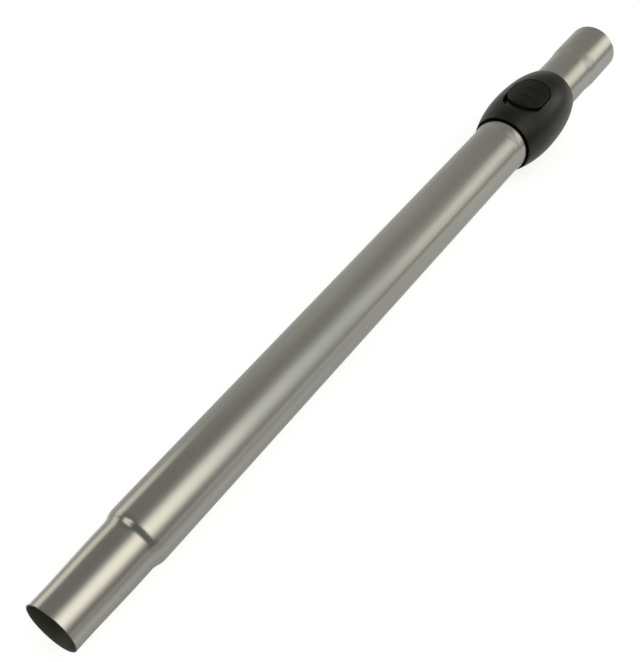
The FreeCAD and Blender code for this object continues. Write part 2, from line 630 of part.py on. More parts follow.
def resting_place():
    """Tips the wand onto the round end of the spigot's shoulder and the belly arc of the collar, and
    centres it over the ground."""
    shoulder_bow = bend_radius(SHOULDER_LENGTH, MAIN_RADIUS - SPIGOT_RADIUS)
    shoulder_centre = at(SHOULDER_END, shoulder_bow - MAIN_RADIUS)
    belly_centre = at(COLLAR_WIDEST, BELLY_RADIUS - COLLAR_RADIUS)
    reach = belly_centre - shoulder_centre
    tilt = math.asin((BELLY_RADIUS - shoulder_bow) / reach.Length) - math.atan2(reach.z, reach.x)
    turn = FreeCAD.Rotation(ACROSS, -math.degrees(tilt))
    lowest = turn.multVec(shoulder_centre).z - shoulder_bow
    near_end = turn.multVec(at(0, SPIGOT_TIP_RADIUS - RIM_CHAMFER)).x
    far_end = turn.multVec(at(WAND_LENGTH, RIM_CHAMFER - SOCKET_RADIUS)).x
    shift = FreeCAD.Vector(-(near_end + far_end) / 2, 0, -lowest)
    return FreeCAD.Placement(shift, turn)


def build():
    end_guide_left = make_end_guide()
    return {
        "outer_tube": make_outer_tube(),
        "guide_sleeve": make_guide_sleeve(),
        "collar_shell": make_collar_shell(),
        "wiper_ring": make_wiper_ring(),
        "lock_housing": make_lock_housing(),
        "lock_dog": make_lock_dog(),
        "lock_cross_pin": make_lock_cross_pin(),
        "release_button": make_release_button(),
        "return_spring": make_return_spring(),
        "inner_tube": make_inner_tube(),
        "end_guide_left": end_guide_left,
        "end_guide_right": mirrored(end_guide_left),
        "end_seal": make_end_seal(),
    }


os.makedirs("parts", exist_ok=True)
place = resting_place()
print("tilt", round(math.degrees(place.Rotation.Angle), 4), "shift", place.Base)
for name, shape in build().items():
    solids = Part.makeCompound(shape.Solids) if len(shape.Solids) > 1 else shape.Solids[0]
    placed = solids.copy()
    placed.Placement = place.multiply(placed.Placement)
    placed.exportStep(os.path.join("parts", name + ".step"))
    print(name, len(shape.Solids), placed.isValid(), round(placed.Volume, 2))
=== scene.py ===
import json
import math

import bmesh
import bpy
from mathutils import Matrix, Vector


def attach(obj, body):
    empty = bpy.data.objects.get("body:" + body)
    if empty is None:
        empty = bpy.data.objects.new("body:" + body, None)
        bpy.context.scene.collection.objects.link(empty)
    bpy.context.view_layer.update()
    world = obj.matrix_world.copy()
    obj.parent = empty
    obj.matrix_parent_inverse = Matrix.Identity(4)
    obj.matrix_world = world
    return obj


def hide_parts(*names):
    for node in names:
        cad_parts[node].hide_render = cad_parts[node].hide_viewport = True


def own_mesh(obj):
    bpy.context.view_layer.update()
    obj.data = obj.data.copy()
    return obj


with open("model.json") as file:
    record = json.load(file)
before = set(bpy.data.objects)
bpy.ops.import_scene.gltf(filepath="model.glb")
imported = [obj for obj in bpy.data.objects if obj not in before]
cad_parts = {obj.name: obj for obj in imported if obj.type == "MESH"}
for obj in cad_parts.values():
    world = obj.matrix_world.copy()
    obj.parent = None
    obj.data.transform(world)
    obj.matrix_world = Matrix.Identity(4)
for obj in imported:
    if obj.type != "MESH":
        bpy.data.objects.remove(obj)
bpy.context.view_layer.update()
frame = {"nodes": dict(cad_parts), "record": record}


# The inner tube: a drawn steel tube, chromed to a satin finish, with a socket widened at its far end
# for the handle. A row of cross notches for the lock is pressed into its top and a key groove into its
# underside, so that the two tubes can't turn.
WALL = 0.7
RIM_CHAMFER = 0.22
INNER_RADIUS = 17.5
INNER_NEAR = 70.0
WAND_LENGTH = 593.0
SOCKET_FLARE = 14.0
NOTCH_PITCH = 30.0
LAST_NOTCH = 484.0
NOTCH_RADIUS = 2.1
NOTCH_DEPTH = 1.35
NOTCH_ROWS = (0, 0.45, 0.9, 1.3, 1.6, 1.85, 2.05, 2.3, 2.7, 3.1)
KEY_RADIUS = 2.5
KEY_DEPTH = 1.1
KEY_START = 93.5
KEY_END = 519.4
KEY_END_ROWS = (0.25, 0.5, 0.7, 0.85, 0.95, 1.05, 1.2, 1.3)
PRESS_ROUND = 0.12
LEAST_RISE = 0.2
FAR_OUT = 1000.0
BEND_STEPS = 14
SMOOTH_ANGLE = math.radians(32)
CHROME_PALE = (0.388, 0.381, 0.341, 1)
CHROME_DULL = (0.347, 0.342, 0.309, 1)
CHROME_ROUGH = (0.165, 0.205)
LINE_ROUGH = 0.015
SCUFF_ROUGH = 0.03
CLOUD_SHARE = 0.9
LINE_SHARE = 0.75
INNER_SCUFF_TURN = 0.7
CUT_BARE = (0.17, 0.145, 0.115, 1)
CUT_BROWN = (0.10, 0.075, 0.05, 1)
BORE_PALE = (0.24, 0.235, 0.19, 1)
BORE_DULL = (0.16, 0.16, 0.125, 1)
MICRON = 0.000001

# Sizes are in millimetres along the wand's own line, from the spigot's mouth, with the slide button on
# top. The wand lies on its spigot's shoulder and its collar, so that line rises a little towards the
# socket, and each piece made along it is laid down by the same turn.
MM = 0.001
mounts = {mount["name"]: mount for mount in frame["record"]["mounts"]}
joints = {joint["name"]: joint for joint in frame["record"]["behaviour"]["joints"]}
along = Vector(joints["telescope"]["axis"]).normalized()
across = Vector((0, 1, 0))
upwards = along.cross(across).normalized()
mouth = mounts["spigot_mouth"]
mouth_middle = RIM_CHAMFER + mouth["dims"]["length_mm"] / 2
mouth_centre = Vector(mouth["pos_m"]) - along * (mouth_middle * MM)
lie = Matrix.Translation(mouth_centre) @ Matrix((along, across, upwards)).transposed().to_4x4()
lie_in_mm = lie @ Matrix.Scale(MM, 4)
tilt = math.atan2(along.z, along.x)
socket_radius = mounts["handle_socket"]["dims"]["r_mm"] + WALL
socket_length = mounts["handle_socket"]["dims"]["length_mm"] + RIM_CHAMFER
notch_count = round(joints["telescope"]["range_m"][1] / MM / NOTCH_PITCH) + 1


def s_bend(start, end):
    """Points of the two equal arcs that step a wall from one station and radius to another."""
    run = end[0] - start[0]
    rise = end[1] - start[1]
    radius = (run * run + rise * rise) / (4 * abs(rise))
    turn = 2 * math.atan2(abs(rise), run) / BEND_STEPS
    side = math.copysign(1, rise)
    half = [(radius * math.sin(turn * i), side * radius * (1 - math.cos(turn * i)))
            for i in range(1, BEND_STEPS + 1)]
    first = [(start[0] + x, start[1] + r) for x, r in half]
    second = [(end[0] - x, end[1] - r) for x, r in reversed(half[:-1])]
    return first + second + [end]


def bore_under(outside):
    """The bore that leaves an even wall under a tube's outside, from the far end back to the near one."""
    return [(x, radius - WALL) for x, radius in reversed(outside)]


def rim(x, radius):
    """A tube's chamfered end, from its outside to its bore."""
    return [(x, radius - RIM_CHAMFER), (x, radius - WALL + RIM_CHAMFER)]


def turned(name, profile, angles):
    """A closed profile of stations and radii swept round the wand's line, one ring of points an angle."""
    built = bmesh.new()
    rings = []
    for x, radius in profile:
        rings.append([built.verts.new((x, radius * math.sin(a), radius * math.cos(a))) for a in angles])
    for ring, following in zip(rings, rings[1:] + rings[:1]):
        for i in range(len(angles)):
            j = (i + 1) % len(angles)
            built.faces.new((ring[i], ring[j], following[j], following[i]))
    bmesh.ops.recalc_face_normals(built, faces=built.faces)
    mesh = bpy.data.meshes.new(name)
    built.to_mesh(mesh)
    built.free()
    piece = bpy.data.objects.new(name, mesh)
    bpy.context.scene.collection.objects.link(piece)
    return piece


class Value:
    """One output in a node tree. Sums, differences, products and quotients add Math nodes."""

    def __init__(self, graph, socket):
        self.graph = graph
        self.socket = socket

    def also(self, output):
        """Another output of the same node."""
        return Value(self.graph, self.socket.node.outputs[output])

    def between(self, low, high):
        """A value from 0 to 1 spread over another span."""
        return low + self * (high - low)

    def __add__(self, other):
        return self.graph.maths("ADD", self, other)

    __radd__ = __add__

    def __sub__(self, other):
        return self.graph.maths("SUBTRACT", self, other)

    def __rsub__(self, other):
        return self.graph.maths("SUBTRACT", other, self)

    def __mul__(self, other):
        return self.graph.maths("MULTIPLY", self, other)

    __rmul__ = __mul__

    def __truediv__(self, other):
        return self.graph.maths("DIVIDE", self, other)

    def __rtruediv__(self, other):
        return self.graph.maths("DIVIDE", other, self)


class Graph:
    """A node tree and the few kinds of node that the shapes, the finishes and the room are made of."""

    def __init__(self, tree):
        self.nodes = tree.nodes
        self.links = tree.links

    def give(self, socket, value):
        """Links a value to a socket, or sets the socket to a plain number, colour or material."""
        if isinstance(value, Value):
            self.links.new(value.socket, socket)
        else:
            socket.default_value = value

    def add(self, kind, settings, sockets, output=0):
        """A new node of any kind. One of its outputs comes back, or None for a node without any."""
        node = self.nodes.new(kind)
        for name, value in settings.items():
            setattr(node, name, value)
        for name, value in sockets.items():
            self.give(node.inputs[name], value)
        return None if output is None else Value(self, node.outputs[output])

    def maths(self, operation, *values):
        return self.add("ShaderNodeMath", {"operation": operation}, dict(enumerate(values)))

    def ramp(self, value, start, end):
        """0 before the start and 1 past the end, with soft shoulders; falls where the end is the lower."""
        return self.add("ShaderNodeMapRange", {"interpolation_type": "SMOOTHSTEP"},
                        {0: value, 1: start, 2: end})

    def patch(self, strength, *edges):
        """A strength that fades out at soft edges, each a value with the start and the end of its ramp."""
        for value, start, end in edges:
            strength = self.ramp(value, start, end) * strength
        return strength


class Finish(Graph):
    """A material built round one Principled shader."""

    def __init__(self, name):
        self.material = bpy.data.materials.new(name)
        self.material.use_nodes = True
        super().__init__(self.material.node_tree)
        self.shader = self.nodes["Principled BSDF"]

    def place(self):
        """The piece's own coordinates, in metres."""
        return self.add("ShaderNodeTexCoord", {}, {}, "Object")

    def noise(self, cells, detail=3.0, roughness=0.5, turn=(0, 0, 0)):
        """A cloudy pattern from 0 to 1, turned, with so many cells a metre along, across and up."""
        spot = self.add("ShaderNodeMapping", {}, {"Vector": self.place(), "Rotation": turn, "Scale": cells})
        return self.add("ShaderNodeTexNoise", {},
                        {"Vector": spot, "Scale": 1.0, "Detail": detail, "Roughness": roughness})

    def mix(self, share, first, second):
        """A colour between two colours."""
        return self.add("ShaderNodeMix", {"data_type": "RGBA"}, {0: share, 6: first, 7: second}, 2)

    def bump(self, height, distance):
        return self.add("ShaderNodeBump", {}, {"Height": height, "Distance": distance, "Strength": 1.0})

    def paint(self, **sockets):
        """The material, with sockets of its shader set or linked, named with _ for each space."""
        for name, value in sockets.items():
            self.give(self.shader.inputs[name.replace("_", " ")], value)
        return self.material


class Shape(Graph):
    """A Geometry Nodes tree that makes one piece's mesh from a blank and from named numbers."""

    def __init__(self, name, numbers):
        self.tree = bpy.data.node_groups.new(name, "GeometryNodeTree")
        sockets = self.tree.interface
        sockets.new_socket("Blank", in_out="INPUT", socket_type="NodeSocketGeometry")
        for number in numbers:
            sockets.new_socket(number, in_out="INPUT", socket_type="NodeSocketFloat")
        sockets.new_socket("Made", in_out="OUTPUT", socket_type="NodeSocketGeometry")
        super().__init__(self.tree)
        self.blank = self.add("NodeGroupInput", {}, {}, "Blank")

    def number(self, name):
        """One of the named numbers."""
        return self.blank.also(name)

    def closed(self, made, material):
        """The tree, once its last nodes have made the shape real and given it its finish."""
        real = self.add("GeometryNodeRealizeInstances", {}, {"Geometry": made})
        shown = self.add("GeometryNodeSetMaterial", {}, {"Geometry": real, "Material": material})
        self.add("NodeGroupOutput", {}, {"Made": shown}, None)
        return self.tree


def satin_chrome(name, scuff_turn):
    """Satin chrome on drawn steel: fine lines along the tube, a soft cloudiness and faint scuffs."""
    finish = Finish(name)
    level = (0, tilt, 0)
    drawn = finish.noise((3, 900, 900), 4.0, 0.6, turn=level)
    grain = finish.noise((1400, 1400, 1400), 2.0, turn=level)
    cloud = finish.noise((9, 22, 22), turn=level)
    scuff = finish.noise((160, 26, 26), 5.0, 0.65, turn=(scuff_turn, scuff_turn, scuff_turn))
    scuffed = finish.ramp(scuff, 0.60, 0.74)
    tone = finish.ramp(cloud * CLOUD_SHARE + drawn * (1 - CLOUD_SHARE), 0.34, 0.66)
    rough = cloud.between(*CHROME_ROUGH) + drawn * LINE_ROUGH + scuffed * SCUFF_ROUGH
    height = drawn * LINE_SHARE + grain * (1 - LINE_SHARE)
    return finish.paint(Base_Color=finish.mix(tone, CHROME_DULL, CHROME_PALE), Metallic=1.0, Roughness=rough,
                        Normal=finish.bump(height, 0.25 * MICRON))


def cut_steel(name):
    """The raw edge of a cut and chamfered tube: bare steel, browned a little, with cross saw marks."""
    finish = Finish(name)
    marks = finish.noise((900, 2500, 2500), 4.0)
    stain = finish.ramp(finish.noise((120, 120, 120)), 0.35, 0.65)
    return finish.paint(Base_Color=finish.mix(stain, CUT_BROWN, CUT_BARE), Metallic=1.0,
                        Roughness=marks.between(0.38, 0.58), Normal=finish.bump(marks, 3 * MICRON))


def bare_steel(name):
    """The tube's inside, which the chrome doesn't reach: dull rolled steel with a little haze."""
    finish = Finish(name)
    haze = finish.ramp(finish.noise((40, 90, 90), 4.0), 0.3, 0.7)
    rolled = finish.noise((20, 900, 900))
    return finish.paint(Base_Color=finish.mix(haze, BORE_DULL, BORE_PALE), Metallic=0.75,
                        Roughness=rolled.between(0.46, 0.60), Normal=finish.bump(rolled, 2 * MICRON))


def bare_where_cut(piece, low, high):
    """Gives a tube its raw edge between two stations and its bare inside."""
    piece.data.materials.append(cut_steel("cut edge of " + piece.name))
    piece.data.materials.append(bare_steel("bare inside of " + piece.name))
    for face in piece.data.polygons:
        radial = Vector((0, face.center.y, face.center.z))
        if low <= face.center.x <= high:
            face.material_index = 1
        elif face.normal.dot(radial) < 0:
            face.material_index = 2


def pressed_tree(chrome):
    """Presses the lock notches and the key groove into a plain tube. A point keeps its direction from the
    wand's line and is drawn in to the pressed wall, which stays as thick as the tube's."""
    press = Shape("press notches and groove", (
        "Radius", "Notch Pitch", "First Notch", "Last Notch", "Notch Radius", "Notch Axis",
        "Key Radius", "Key Axis", "Key Start", "Key End", "Round"))

    def half_chord(radius, off):
        """How far a round tool reaches beside its axis, and 0 where it doesn't."""
        return press.maths("SQRT", press.maths("MAXIMUM", radius * radius - off * off, 0))

    def within(value, low, high):
        return press.maths("MINIMUM", press.maths("MAXIMUM", value, low), high)

    def reaches(radius, off):
        return press.maths("LESS_THAN", press.maths("ABSOLUTE", off), radius)

    def only(mask, wall):
        """The pressed wall where the mask is 1. Elsewhere it lies far outside, where it presses nothing."""
        return wall + (1 - mask) * FAR_OUT

    x = press.add("ShaderNodeSeparateXYZ", {}, {0: press.add("GeometryNodeInputPosition", {}, {})}, "X")
    y, z = x.also("Y"), x.also("Z")
    radius = press.maths("SQRT", y * y + z * z)
    depth = press.number("Radius") - radius
    up = z / radius

    pitch, first = press.number("Notch Pitch"), press.number("First Notch")
    nearest = press.maths("SNAP", x - first + pitch * 0.5, pitch) + first
    off = x - within(nearest, first, press.number("Last Notch"))
    punch = press.number("Notch Radius") + depth
    # A notch's floor is level across the tube, so beside its middle it lies further from the wand's line,
    # and LEAST_RISE keeps that way finite lower down.
    notch_floor = press.number("Notch Axis") - half_chord(punch, off)
    notched = only(reaches(punch, off), notch_floor / press.maths("MAXIMUM", up, LEAST_RISE))

    past = x - within(x, press.number("Key Start"), press.number("Key End"))
    roller = half_chord(press.number("Key Radius") + depth, past)
    axis = press.number("Key Axis")
    sideways = y / radius * axis
    underneath = press.maths("LESS_THAN", up, 0)
    grooved = only(reaches(roller, sideways) * underneath, up * -1 * axis - half_chord(roller, sideways))

    wall = press.maths("SMOOTH_MIN", radius, notched, press.number("Round"))
    wall = press.maths("SMOOTH_MIN", wall, grooved, press.number("Round"))
    share = wall / radius
    spot = press.add("ShaderNodeCombineXYZ", {}, {0: x, 1: y * share, 2: z * share})
    pressed = press.add("GeometryNodeSetPosition", {}, {"Geometry": press.blank, "Position": spot})
    return press.closed(pressed, chrome)


def grown(piece, tree, values):
    """Gives a piece the plain mesh that its Geometry Nodes tree makes of it."""
    modifier = piece.modifiers.new("shape", "NODES")
    modifier.node_group = tree
    for item in tree.interface.items_tree:
        if item.item_type == "SOCKET" and item.name in values:
            modifier[item.identifier] = values[item.name]
    view = bpy.context.evaluated_depsgraph_get()
    made = bpy.data.meshes.new_from_object(piece.evaluated_get(view))
    piece.modifiers.clear()
    piece.data = made


def laid(piece):
    """Lays a piece made along the wand's own line down where the wand lies, and shades it smooth."""
    piece.data.transform(lie_in_mm)
    piece.data.shade_smooth()
    piece.data.set_sharp_from_angle(angle=SMOOTH_ANGLE)


first_notch = LAST_NOTCH - NOTCH_PITCH * (notch_count - 1)
stations = {INNER_NEAR, KEY_START, KEY_END}
for end, side in ((KEY_START, -1), (KEY_END, 1)):
    stations.update(end + side * KEY_RADIUS * row for row in KEY_END_ROWS)
for index in range(notch_count):
    middle = first_notch + NOTCH_PITCH * index
    stations.update(round(middle + side * row, 3) for row in NOTCH_ROWS for side in (-1, 1))
flare_start = (WAND_LENGTH - socket_length - SOCKET_FLARE, INNER_RADIUS)
socket_start = (WAND_LENGTH - socket_length, socket_radius)
inner_outside = [(x, INNER_RADIUS) for x in sorted(stations)] + [flare_start]
inner_outside += s_bend(flare_start, socket_start)
inner_outside.append((WAND_LENGTH - RIM_CHAMFER, socket_radius))
over_notches = [2.0 * i for i in range(-14, 15)]
over_groove = [180 + 1.5 * i for i in range(-8, 9)]
left, right = list(range(32, 168, 4)), list(range(196, 332, 4))
inner_tube = turned("inner_tube_chrome",
                    inner_outside + rim(WAND_LENGTH, socket_radius) + bore_under(inner_outside),
                    [math.radians(a) for a in over_notches + left + over_groove + right])
inner_chrome = satin_chrome("satin chrome of the inner tube", INNER_SCUFF_TURN)
grown(inner_tube, pressed_tree(inner_chrome), {
    "Radius": INNER_RADIUS, "Notch Pitch": NOTCH_PITCH, "First Notch": first_notch, "Last Notch": LAST_NOTCH,
    "Notch Radius": NOTCH_RADIUS, "Notch Axis": INNER_RADIUS - NOTCH_DEPTH + NOTCH_RADIUS,
    "Key Radius": KEY_RADIUS, "Key Axis": INNER_RADIUS - KEY_DEPTH + KEY_RADIUS,
    "Key Start": KEY_START, "Key End": KEY_END, "Round": PRESS_ROUND})
bare_where_cut(inner_tube, WAND_LENGTH - RIM_CHAMFER, WAND_LENGTH)
laid(inner_tube)
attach(inner_tube, "inner")
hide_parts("inner_tube")


# The end guides and their seal: two moulded half rings clipped by pegs to the inner tube's hidden end,
# in a natural bearing plastic, with a soft rubber ring in their groove that keeps the suction in.
GUIDE_COLOUR = (0.62, 0.60, 0.55, 1)
RUBBER_DARK = (0.018, 0.018, 0.018, 1)
RUBBER_BLOOM = (0.04, 0.04, 0.038, 1)


def shade(colour, share):
    """The same colour, darker or paler."""
    return tuple(share * part for part in colour[:3]) + (1,)


def bearing_plastic(name, colour):
    """Unpainted bearing plastic: milky, a little cloudy, with a fine moulded grain."""
    finish = Finish(name)
    milk = finish.noise((60, 60, 60))
    grain = finish.noise((1800, 1800, 1800), 2.0)
    return finish.paint(Base_Color=finish.mix(milk, shade(colour, 0.86), colour),
                        Roughness=grain.between(0.42, 0.54), Normal=finish.bump(grain, 4 * MICRON))


def soft_rubber(name):
    """Moulded rubber with a faint uneven bloom."""
    finish = Finish(name)
    bloom = finish.noise((140, 140, 140), 4.0)
    return finish.paint(Base_Color=finish.mix(bloom, RUBBER_DARK, RUBBER_BLOOM),
                        Roughness=bloom.between(0.62, 0.82), Normal=finish.bump(bloom, 20 * MICRON))


def coat(node, material):
    """Gives a CAD piece its finish."""
    slots = frame["nodes"][node].data.materials
    slots.clear()
    slots.append(material)


guide_plastic = bearing_plastic("natural plastic of the end guides", GUIDE_COLOUR)
coat("end_guide_left", guide_plastic)
coat("end_guide_right", guide_plastic)
coat("end_seal", soft_rubber("soft rubber of the seal"))


# The outer tube: a wider drawn steel tube in the same satin chrome, necked down by a round shoulder to a
# lightly tapered spigot for the floor tool, and flared a little where the collar's sleeve sits in it.
OUTER_RADIUS = 19.25
OUTER_LENGTH = 462.0
SPIGOT_CONE = 30.0
SHOULDER_LENGTH = 9.1
FLARE_START = 441.0
FLARE_END = 449.0
FLARE_RADIUS = 19.8
OUTER_SIDES = 224
OUTER_SCUFF_TURN = 0.2
tip_radius = mouth["dims"]["r_mm"] + WALL
tip_end = mouth["dims"]["length_mm"] + RIM_CHAMFER
spigot_radius = mounts["floor_tool_spigot"]["dims"]["r_mm"]
seat_start = tip_end + SPIGOT_CONE
shoulder_start = seat_start + mounts["floor_tool_spigot"]["dims"]["length_mm"]
outer_outside = [(RIM_CHAMFER, tip_radius), (tip_end, tip_radius),
                 (seat_start, spigot_radius), (shoulder_start, spigot_radius)]
outer_outside += s_bend((shoulder_start, spigot_radius), (shoulder_start + SHOULDER_LENGTH, OUTER_RADIUS))
outer_outside.append((FLARE_START, OUTER_RADIUS))
outer_outside += s_bend((FLARE_START, OUTER_RADIUS), (FLARE_END, FLARE_RADIUS))
outer_outside.append((OUTER_LENGTH, FLARE_RADIUS))
near_rim = list(reversed(rim(0, tip_radius)))
outer_tube = turned("outer_tube_chrome", outer_outside + bore_under(outer_outside) + near_rim,
                    [2 * math.pi * i / OUTER_SIDES for i in range(OUTER_SIDES)])
outer_tube.data.materials.append(satin_chrome("satin chrome of the outer tube", OUTER_SCUFF_TURN))
bare_where_cut(outer_tube, 0, RIM_CHAMFER)
laid(outer_tube)
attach(outer_tube, "outer")
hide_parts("outer_tube")


# The guide sleeve and wiper: a moulded bearing sleeve snapped into the outer tube's flared end by two side
# lugs, and a ring of dark pressed felt behind it that wipes the inner tube.
SLEEVE_COLOUR = (0.62, 0.61, 0.57, 1)
FELT_DARK = (0.05, 0.05, 0.05, 1)
FELT_PALE = (0.16, 0.16, 0.155, 1)


def pressed_felt(name):
    """Dark wool felt: short fibres lying round the ring."""
    finish = Finish(name)
    fibres = finish.noise((900, 2600, 2600), 6.0, 0.7)
    return finish.paint(Base_Color=finish.mix(fibres, FELT_DARK, FELT_PALE), Roughness=0.92,
                        Normal=finish.bump(fibres, 150 * MICRON))


coat("guide_sleeve", bearing_plastic("natural plastic of the guide sleeve", SLEEVE_COLOUR))
coat("wiper_ring", pressed_felt("dark felt of the wiper"))


# The lock: a dark moulded housing that drops through the collar's window into the sleeve, and in it the
# hardened steel dog that drops into a notch, with a cross pin that the button's slanted slots lift.
HOUSING_COLOUR = (0.05, 0.05, 0.052, 1)
HOUSING_ROUGH = 0.45
HOUSING_GRAIN = 0.7
MOULDING_IOR = 1.30
MOULDING_GLEAM = (1, 1, 0.85, 1)
HARD_STEEL_DARK = (0.42, 0.42, 0.41, 1)
HARD_STEEL_PALE = (0.56, 0.56, 0.55, 1)


def black_moulding(name, colour, rough, grain_size, ior=MOULDING_IOR):
    """Black plastic moulded in a lightly spark-eroded tool: a fine even grain and slight flow marks."""
    finish = Finish(name)
    cells = 1 / (grain_size * MM)
    grain = finish.noise((cells, cells, cells), roughness=0.55)
    flow = finish.noise((18, 40, 40))
    return finish.paint(Base_Color=finish.mix(flow, colour, shade(colour, 1.35)), IOR=ior,
                        Specular_Tint=MOULDING_GLEAM, Roughness=rough + flow * 0.05 + grain * 0.05,
                        Normal=finish.bump(grain, 8 * MICRON))


def hard_steel(name):
    """Hardened steel, ground across the wand."""
    finish = Finish(name)
    ground = finish.noise((700, 60, 700), 4.0)
    return finish.paint(Base_Color=finish.mix(ground, HARD_STEEL_DARK, HARD_STEEL_PALE), Metallic=1.0,
                        Roughness=ground.between(0.22, 0.38), Normal=finish.bump(ground, 4 * MICRON))


coat("lock_housing", black_moulding("dark plastic of the lock housing", HOUSING_COLOUR, HOUSING_ROUGH,
                                    HOUSING_GRAIN))
lock_steel = hard_steel("hardened steel of the lock")
coat("lock_dog", lock_steel)
coat("lock_cross_pin", lock_steel)


# The return spring: a small coil of drawn steel wire round two stubs, between the lock's housing and a
# wall under the button. It is wound at its full length only; the real spring shortens towards the housing
# as the button is pushed, and drives it back.
SPRING_START = 487.7
SPRING_END = 497.3
SPRING_AXIS = 20.95
SPRING_RADIUS = 1.2
SPRING_TURNS = 4.0
SPRING_SEAT_GAP = 0.02
WIRE_RADIUS = 0.2
WIRE_SIDES = 12
POINTS_A_TURN = 40
WIRE_DARK = (0.36, 0.36, 0.36, 1)
WIRE_PALE = (0.5, 0.5, 0.49, 1)


def drawn_wire(name):
    """Bright drawn wire with a little scale left from the heat."""
    finish = Finish(name)
    scale = finish.noise((500, 500, 500))
    return finish.paint(Base_Color=finish.mix(scale, WIRE_DARK, WIRE_PALE), Metallic=1.0,
                        Roughness=scale.between(0.28, 0.43))


def coil_tree(steel):
    """A round wire wound up the Z axis from the origin."""
    coil = Shape("wind spring", ("Turns", "Coil Radius", "Wire Radius", "Length"))
    helix = coil.add("GeometryNodeCurveSpiral", {}, {
        "Resolution": POINTS_A_TURN, "Rotations": coil.number("Turns"), "Height": coil.number("Length"),
        "Start Radius": coil.number("Coil Radius"), "End Radius": coil.number("Coil Radius")})
    section = coil.add("GeometryNodeCurvePrimitiveCircle", {},
                       {"Resolution": WIRE_SIDES, "Radius": coil.number("Wire Radius")})
    wire = coil.add("GeometryNodeCurveToMesh", {},
                    {"Curve": helix, "Profile Curve": section, "Fill Caps": True})
    return coil.closed(wire, steel)


spring = bpy.data.objects.new("return_spring_wire", bpy.data.meshes.new("return_spring_wire"))
bpy.context.scene.collection.objects.link(spring)
first_wire = SPRING_START + SPRING_SEAT_GAP + WIRE_RADIUS
last_wire = SPRING_END - SPRING_SEAT_GAP - WIRE_RADIUS
grown(spring, coil_tree(drawn_wire("drawn steel of the spring")), {
    "Turns": SPRING_TURNS, "Coil Radius": SPRING_RADIUS, "Wire Radius": WIRE_RADIUS,
    "Length": last_wire - first_wire})
along_the_wand = Matrix.Rotation(math.pi / 2, 4, "Y")
spring.data.transform(Matrix.Translation((first_wire, 0, SPRING_AXIS)) @ along_the_wand)
laid(spring)
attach(spring, "outer")
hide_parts("return_spring")
spring_room = SPRING_END - SPRING_START
button_travel = joints["button_slide"]["range_m"][1] / MM
(spring_room - button_travel) / spring_room
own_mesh(spring)


# The collar: a barrel moulded in black plastic with a fine satin grain. It is pushed on from the far end,
# snaps over the sleeve's flange and carries the oval pocket in which the button slides.
COLLAR_COLOUR = (0.009, 0.009, 0.0068, 1)
SATIN_ROUGH = 0.24
SATIN_GRAIN = 0.4
coat("collar_shell", black_moulding("satin black of the collar", COLLAR_COLOUR, SATIN_ROUGH, SATIN_GRAIN))


# The slide button: the same black plastic, in a darker black with a weaker gleam than the collar's, so that
# the pad shows darker; a crowned oval thumb pad with cross grip ribs. Two legs with slanted slots reach
# down beside the lock and lift its pin when the button is pushed.
BUTTON_COLOUR = (0.006, 0.006, 0.0045, 1)
BUTTON_IOR = 1.24
coat("release_button", black_moulding("satin black of the button", BUTTON_COLOUR, SATIN_ROUGH, SATIN_GRAIN,
                                      ior=BUTTON_IOR))


# The table under the wand: a wide sheet of white paper. The camera sees it plain white, with the wand's soft
# shadow on it. What shines sees it greyer, with painted light and shade on it: a painted glow on the wand's
# right towards the handle and left of the spigot, a painted glow close beside the wand near the spigot that
# turns to a painted shadow of the wand towards the handle, a painted shadow along the wand's foot, and
# painted shade in front and in the far corner.
SHEET_HALF = 6.0
PAPER_DARK = (0.33, 0.33, 0.33, 1)
PAPER_PALE = (0.35, 0.35, 0.35, 1)
PAPER_ROUGH = 0.9
PAPER_WHITE = 0.82
PAPER_SHINE = 0.365
corners = [(x * SHEET_HALF, y * SHEET_HALF, 0) for x, y in ((-1, -1), (1, -1), (1, 1), (-1, 1))]
sheet_mesh = bpy.data.meshes.new("white_sheet")
sheet_mesh.from_pydata(corners, [], [(0, 1, 2, 3)])
sheet = bpy.data.objects.new("white_sheet", sheet_mesh)
bpy.context.scene.collection.objects.link(sheet)
paper = Finish("white sheet")
fibre = paper.noise((30, 30, 30))
lengthways = paper.add("ShaderNodeSeparateXYZ", {}, {0: paper.place()}, "X")
sideways = lengthways.also("Y")
# The edges of these patches are in metres from the wand's middle, left counted up.
on_right = (sideways, 0.02, -0.02)
towards_handle = (lengthways, -0.3, 0.25)
close_by = ((sideways, -0.10, -0.04), (sideways, -0.012, -0.03))
# Painted light and shade, row by row: a painted glow left of the spigot, a painted glow on the right towards
# the handle, a painted glow close beside the wand, a painted shadow of the wand there towards the handle, a
# painted shadow at the wand's foot, and painted shade in front and in the far corner.
painted_shine_and_shade = PAPER_SHINE + sum(paper.patch(*row) for row in (
    (1.10, (sideways, 0, 0.02), (sideways, 0.11, 0.04), (lengthways, -0.19, -0.28)),
    (0.24, on_right, towards_handle),
    (0.22, on_right, *close_by),
    (-0.30, on_right, *close_by, towards_handle),
    (-0.15, on_right, (sideways, -0.045, -0.026)),
    (-0.085, (lengthways, 0, -0.2), (sideways, -0.06, -0.12)),
    (-0.36, (lengthways, 0.36, 0.52), (sideways, -0.14, -0.26))))
ray = paper.add("ShaderNodeLightPath", {}, {}, "Is Camera Ray")
seen_white = ray + ray.also("Is Transmission Ray")
paper.paint(Base_Color=paper.mix(fibre, PAPER_DARK, PAPER_PALE), Roughness=PAPER_ROUGH, Emission_Strength=1.0,
            Emission_Color=seen_white * PAPER_WHITE + ray.also("Is Glossy Ray") * painted_shine_and_shade)
sheet_mesh.materials.append(paper.material)


